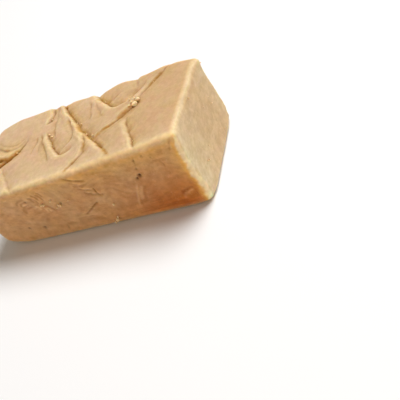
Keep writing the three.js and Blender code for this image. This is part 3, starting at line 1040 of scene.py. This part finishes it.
def edge_colour(finish, colour, end):
    """Adds painted light on the edges: golden where light shines through, a pale painted highlight where
    they round over, and painted warm bounce light on the front's corner.
    """
    glow_colour = finish.mix(end, GOLDEN, CREAM)
    colour = lay(finish, colour, "glow", glow_colour)
    # Painted warm bounce light on the front's lower corner
    colour = lay(finish, colour, "warm_bounce", WARM_BOUNCE_TINT, "MULTIPLY")
    # Painted highlight on the rounded edges
    colour = lay(finish, colour, "edge", EDGE_HIGHLIGHT)
    # Painted glow along the front's top edge
    colour = lay(finish, colour, "front_edge", FRONT_EDGE_GLOW)
    upright_edge = finish.mask("upright_edge")
    # Painted golden glow turning to a painted cream highlight along the upright edge
    fringe = finish.mix(finish.between(upright_edge, *CREAM_RANGE), glow_colour, UPRIGHT_EDGE_HIGHLIGHT)
    return finish.mix(finish.between(upright_edge, *FRINGE_RANGE), colour, fringe)


def mark_colour(finish, colour, place, end):
    """Adds the marks: painted highlights on banks, pale specks, toffee tears partly darkened with painted
    shade, and painted shade in seams and pits.
    """
    # Painted highlight on banks and ridges
    colour = lay(finish, colour, "bank_highlight", CREAM)
    speck = finish.pattern(place, *SPECK)
    colour = finish.mix(speck * (SPECK_COVER + END_SPECK_COVER * end), colour, CREAM)
    tear = mixed(TEAR_LEAST, 1, finish.pattern(place, *TEAR))
    # Tears: partly broken crust, partly painted warm shade
    colour = finish.mix(finish.mask("torn_and_shaded") * tear * COVER["torn_and_shaded"], colour, TOFFEE_AND_SHADE)
    # Painted shade in seams, cracks and holes
    colour = lay(finish, colour, "seam_shade", SEAM_SHADE_BROWN)
    # Painted shade in pits
    return lay(finish, colour, "pit", PIT_SHADE_BROWN)


def fudge_tone(finish, place, grain, end):
    """How light or dark the colour is: grain, patches, blotches, streaks of the end, and the painted shading
    of the faces' streaks.
    """
    patch = finish.pattern(place, *PATCH) - 0.5
    blotch = finish.pattern(place, *BLOTCH) - 0.5
    end_streak = finish.pattern(place * END_SQUEEZE, *END_STREAK) - 0.5
    tone = GRAIN_TONE * (finish.between(grain, *GRAIN_RANGE) - 0.5)
    tone = tone + (PATCH_TONE - END_PATCH_LOSS * end) * patch
    tone = tone + (CUT_BLOTCH_TONE * finish.mask("cut") + END_BLOTCH_TONE * end) * blotch
    tone = tone + RIM_TONE * finish.mask("rim") + END_STREAK_TONE * end * end_streak
    # Painted shading of the relief of streaks and drag lines
    tone = tone + STREAK_SHADING_TONE * (1 - END_STREAK_LOSS * end) * finish.mask("streak_shading")
    shades = {part: MIDDLE_TONE + share * tone for part, share in TONE_SHARES.items()}
    return finish.add("ShaderNodeCombineColor", None, shades)


def fudge_finish():
    """Soft satin fudge: mottled tan, with painted highlights at the edges and painted shade in the seams."""
    finish = Finish("fudge")
    place = finish.place()
    grain = finish.noise(place, *GRAIN)
    end = finish.mask("end")
    colour = face_colour(finish, place, end)
    colour = edge_colour(finish, colour, end)
    colour = mark_colour(finish, colour, place, end)
    tone = fudge_tone(finish, place, grain, end)
    pores = finish.noise(place, *FINE_PORES) * PORE_SHARE + finish.noise(place, *COARSE_PORES) * PORE_SHARE
    bump = {"Strength": 0.45, "Distance": 0.15 * MM, "Height": pores}
    return finish.close(
        Base_Color=finish.mix(1.0, colour, tone, "MULTIPLY"),
        Roughness=FUDGE_ROUGHNESS + GRAIN_ROUGHNESS * grain,
        Normal=finish.add("ShaderNodeBump", None, bump),
        Specular_IOR_Level=0.25,
        Subsurface_Weight=1.0,
        Subsurface_Radius=(1.0, 0.6, 0.22),
        Subsurface_Scale=4.0 * MM,
    )


# A nut's grain: size and detail, the noise at which it starts and is full, its toast; a nut's gloss
NUT_GRAIN = (0.25, 2)
NUT_GRAIN_RANGE = (0.45, 0.75)
NUT_GRAIN_TOAST = 0.4
NUT_ROUGHNESS = 0.5
NUT_GRAIN_ROUGHNESS = 0.2


def nut_finish():
    """Crumbs of nut: pale and dull, some of them toasted."""
    finish = Finish("nut_crumb")
    grain = finish.noise(finish.place(), *NUT_GRAIN)
    toast = finish.mask("toast") + NUT_GRAIN_TOAST * finish.between(grain, *NUT_GRAIN_RANGE)
    bump = {"Strength": 0.3, "Distance": 0.05 * MM, "Height": grain}
    return finish.close(
        Base_Color=finish.mix(toast, NUT_PALE, NUT_TAN),
        Roughness=NUT_ROUGHNESS + NUT_GRAIN_ROUGHNESS * grain,
        Normal=finish.add("ShaderNodeBump", None, bump),
        Subsurface_Weight=0.5,
        Subsurface_Radius=(1.0, 0.6, 0.3),
        Subsurface_Scale=0.5 * MM,
    )


def make_bar():
    bar = bpy.data.objects.new("fudge_bar_swirled", bar_mesh())
    bpy.context.scene.collection.objects.link(bar)
    bar.data.materials.append(fudge_finish())
    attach(bar, "root")
    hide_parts(FUDGE_NODE)
    return bar


# Crumbs of nut that show: place along and across the top, or along and up the front, and size
TOP_CRUMBS = [
    (30.9, 7.9, 2.2), (30.4, 5.1, 2.2), (27.7, 4.6, 1.0), (28.4, 6.6, 1.1), (29.4, 8.6, 0.9),
    (26.9, 8.7, 0.9), (-12.9, 3.1, 1.0), (-14.8, 5.0, 0.8), (2.4, 5.7, 0.9), (11.5, -5.1, 1.0),
]
FRONT_CRUMBS = [
    (-16.6, 21.4, 1.3), (-15.7, 21.2, 1.2), (-10.7, 22.3, 1.2), (-9.4, 19.2, 1.1), (-8.8, 18.0, 1.0),
    (-11.0, 17.5, 0.8), (-3.1, 20.0, 0.7), (13.9, 12.0, 1.0), (11.1, 4.6, 1.1), (10.3, 2.8, 1.7),
    (8.3, 2.0, 1.3),
]

# Small crumbs: the mask they lie on, its least strength and their number; margin, sizes and toasts
SMALL_CRUMBS = (("torn_and_shaded", 0.6, 12), ("cut", 0.97, 50))
CRUMB_MARGIN = 2.0
SMALL_SIZES = (0.35, 0.8)
SMALL_TOASTS = (0, 0.7)

# A crumb of size 1: how high its middle sits, how it is drawn out, and its flat breaks
CRUMB_LIFT = 0.36
CRUMB_STRETCH = (0.7, 1.25)
CRUMB_BREAKS = 6
BREAK_DISTANCE = (0.3, 0.46)
CRUMB_SEED = 12


def mesh_values(items, name, width):
    """A property of a mesh's items as rows of numbers."""
    values = np.zeros(len(items) * width)
    items.foreach_get(name, values)
    return values.reshape(-1, width)


def crumb_spots(mesh, points, draw):
    """Which of the bar's points crumbs sit on, and the crumbs' sizes and toasts."""
    shown = [(x, y, HEIGHT, size) for x, y, size in TOP_CRUMBS]
    shown += [(x, -WIDTH / 2, z, size) for x, z, size in FRONT_CRUMBS]
    spots = [np.linalg.norm(points - crumb[:3], axis=1).argmin() for crumb in shown]
    sizes = [crumb[3] for crumb in shown]
    toasts = [0.0] * len(shown)
    clear = (points[:, 2] > CRUMB_MARGIN) & (points[:, 1] > CRUMB_MARGIN - WIDTH / 2)
    for mask, least, count in SMALL_CRUMBS:
        likely = clear & (mesh_values(mesh.attributes[mask].data, "value", 1)[:, 0] > least)
        spots += draw.choice(np.flatnonzero(likely), count, replace=False).tolist()
        sizes += draw.uniform(*SMALL_SIZES, count).tolist()
        toasts += draw.uniform(*SMALL_TOASTS, count).tolist()
    return spots, sizes, toasts


def broken_bit(ball, draw):
    """A nut's crumb: a drawn-out ball with flat breaks."""
    bit = ball * draw.uniform(*CRUMB_STRETCH, 3)
    for way in draw.normal(size=(CRUMB_BREAKS, 3)):
        way /= np.linalg.norm(way)
        beyond = np.clip(bit @ way - draw.uniform(*BREAK_DISTANCE), 0, None)
        bit -= beyond[:, None] * way
    return bit


def crumb_mesh(bar):
    """All the crumbs as one mesh of broken bits, partly sunk into the bar."""
    draw = np.random.default_rng(CRUMB_SEED)
    ball = bmesh.new()
    bmesh.ops.create_icosphere(ball, subdivisions=3, radius=0.5)
    corners = np.array([v.co for v in ball.verts])
    faces = np.array([[v.index for v in f.verts] for f in ball.faces])
    ball.free()
    places = mesh_values(bar.vertices, "co", 3) / MM
    ways_out = mesh_values(bar.vertex_normals, "vector", 3)
    bits, bit_faces = [], []
    spots, sizes, toasts = crumb_spots(bar, places, draw)
    for spot, size in zip(spots, sizes):
        bit_faces.append(faces + len(bits) * len(corners))
        bits.append(size * (broken_bit(corners, draw) + CRUMB_LIFT * ways_out[spot]) + places[spot])
    mesh = bpy.data.meshes.new("nut_crumbs")
    mesh.from_pydata((np.concatenate(bits) * MM).tolist(), [], np.concatenate(bit_faces).tolist())
    toast = mesh.attributes.new("toast", "FLOAT", "POINT")
    toast.data.foreach_set("value", np.repeat(toasts, len(corners)))
    return mesh


def make_crumbs(bar):
    crumbs = bpy.data.objects.new("nut_crumbs", crumb_mesh(bar.data))
    bpy.context.scene.collection.objects.link(crumbs)
    crumbs.data.materials.append(nut_finish())
    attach(crumbs, "root")


# The stage: a plain pale floor, in metres
FLOOR_SIZE = 6.0
FLOOR_COLOUR = (0.9, 0.9, 0.9, 1)


def make_floor():
    half = FLOOR_SIZE / 2
    corners = [(-half, -half, 0), (half, -half, 0), (half, half, 0), (-half, half, 0)]
    mesh = bpy.data.meshes.new("floor")
    mesh.from_pydata(corners, [], [(0, 1, 2, 3)])
    floor = bpy.data.objects.new("floor", mesh)
    bpy.context.scene.collection.objects.link(floor)
    mesh.materials.append(Finish("pale_floor").close(Base_Color=FLOOR_COLOUR, Roughness=0.9))


# A soft key from behind and a weak warm fill from the front: way, distance, size, power and colour; a sky
LIGHTS = {
    "key": ((0.34, 0.4, 0.85), 1.6, 1.0, 29.0, (0.97, 0.985, 1.0)),
    "fill": ((-0.35, -0.85, 0.25), 1.4, 0.9, 3.0, (1.0, 0.74, 0.5)),
}
SKY_COLOUR = (1.0, 0.9, 0.8, 1)
SKY_STRENGTH = 0.25


def make_lights():
    for name, (way, distance, size, power, colour) in LIGHTS.items():
        lamp = bpy.data.lights.new(name, "AREA")
        lamp.shape = "DISK"
        lamp.size = size
        lamp.energy = power
        lamp.color = colour
        light = bpy.data.objects.new(name, lamp)
        light.location = Vector(way).normalized() * distance
        light.rotation_mode = "QUATERNION"
        light.rotation_quaternion = Vector(way).to_track_quat("Z", "Y")
        bpy.context.scene.collection.objects.link(light)
    world = bpy.data.worlds.new("sky")
    world.use_nodes = True
    sky = world.node_tree.nodes["Background"].inputs
    sky["Color"].default_value = SKY_COLOUR
    sky["Strength"].default_value = SKY_STRENGTH
    bpy.context.scene.world = world
    bpy.context.scene.view_settings.view_transform = "Standard"


# The camera stands as the photograph's did. The bar was propped up there, hence the roll
CAMERA_PLACE = Vector((161.6, -182.5, 154.8)) * MM
CAMERA_AIM = Vector((46.7, -22.4, 0.0)) * MM
CAMERA_ROLL = math.radians(-37.5)
CAMERA_LENS = 57.85
CAMERA_SENSOR = 36.0


def make_camera():
    lens = bpy.data.cameras.new("camera")
    lens.lens = CAMERA_LENS
    lens.sensor_width = CAMERA_SENSOR
    lens.clip_start, lens.clip_end = 0.01, 20.0
    camera = bpy.data.objects.new("camera", lens)
    towards = (CAMERA_AIM - CAMERA_PLACE).to_track_quat("-Z", "Y").to_matrix().to_4x4()
    roll = Matrix.Rotation(CAMERA_ROLL, 4, "Z")
    camera.matrix_world = Matrix.Translation(CAMERA_PLACE) @ towards @ roll
    bpy.context.scene.collection.objects.link(camera)
    bpy.context.scene.camera = camera


make_camera()
make_crumbs(make_bar())
make_floor()
make_lights()
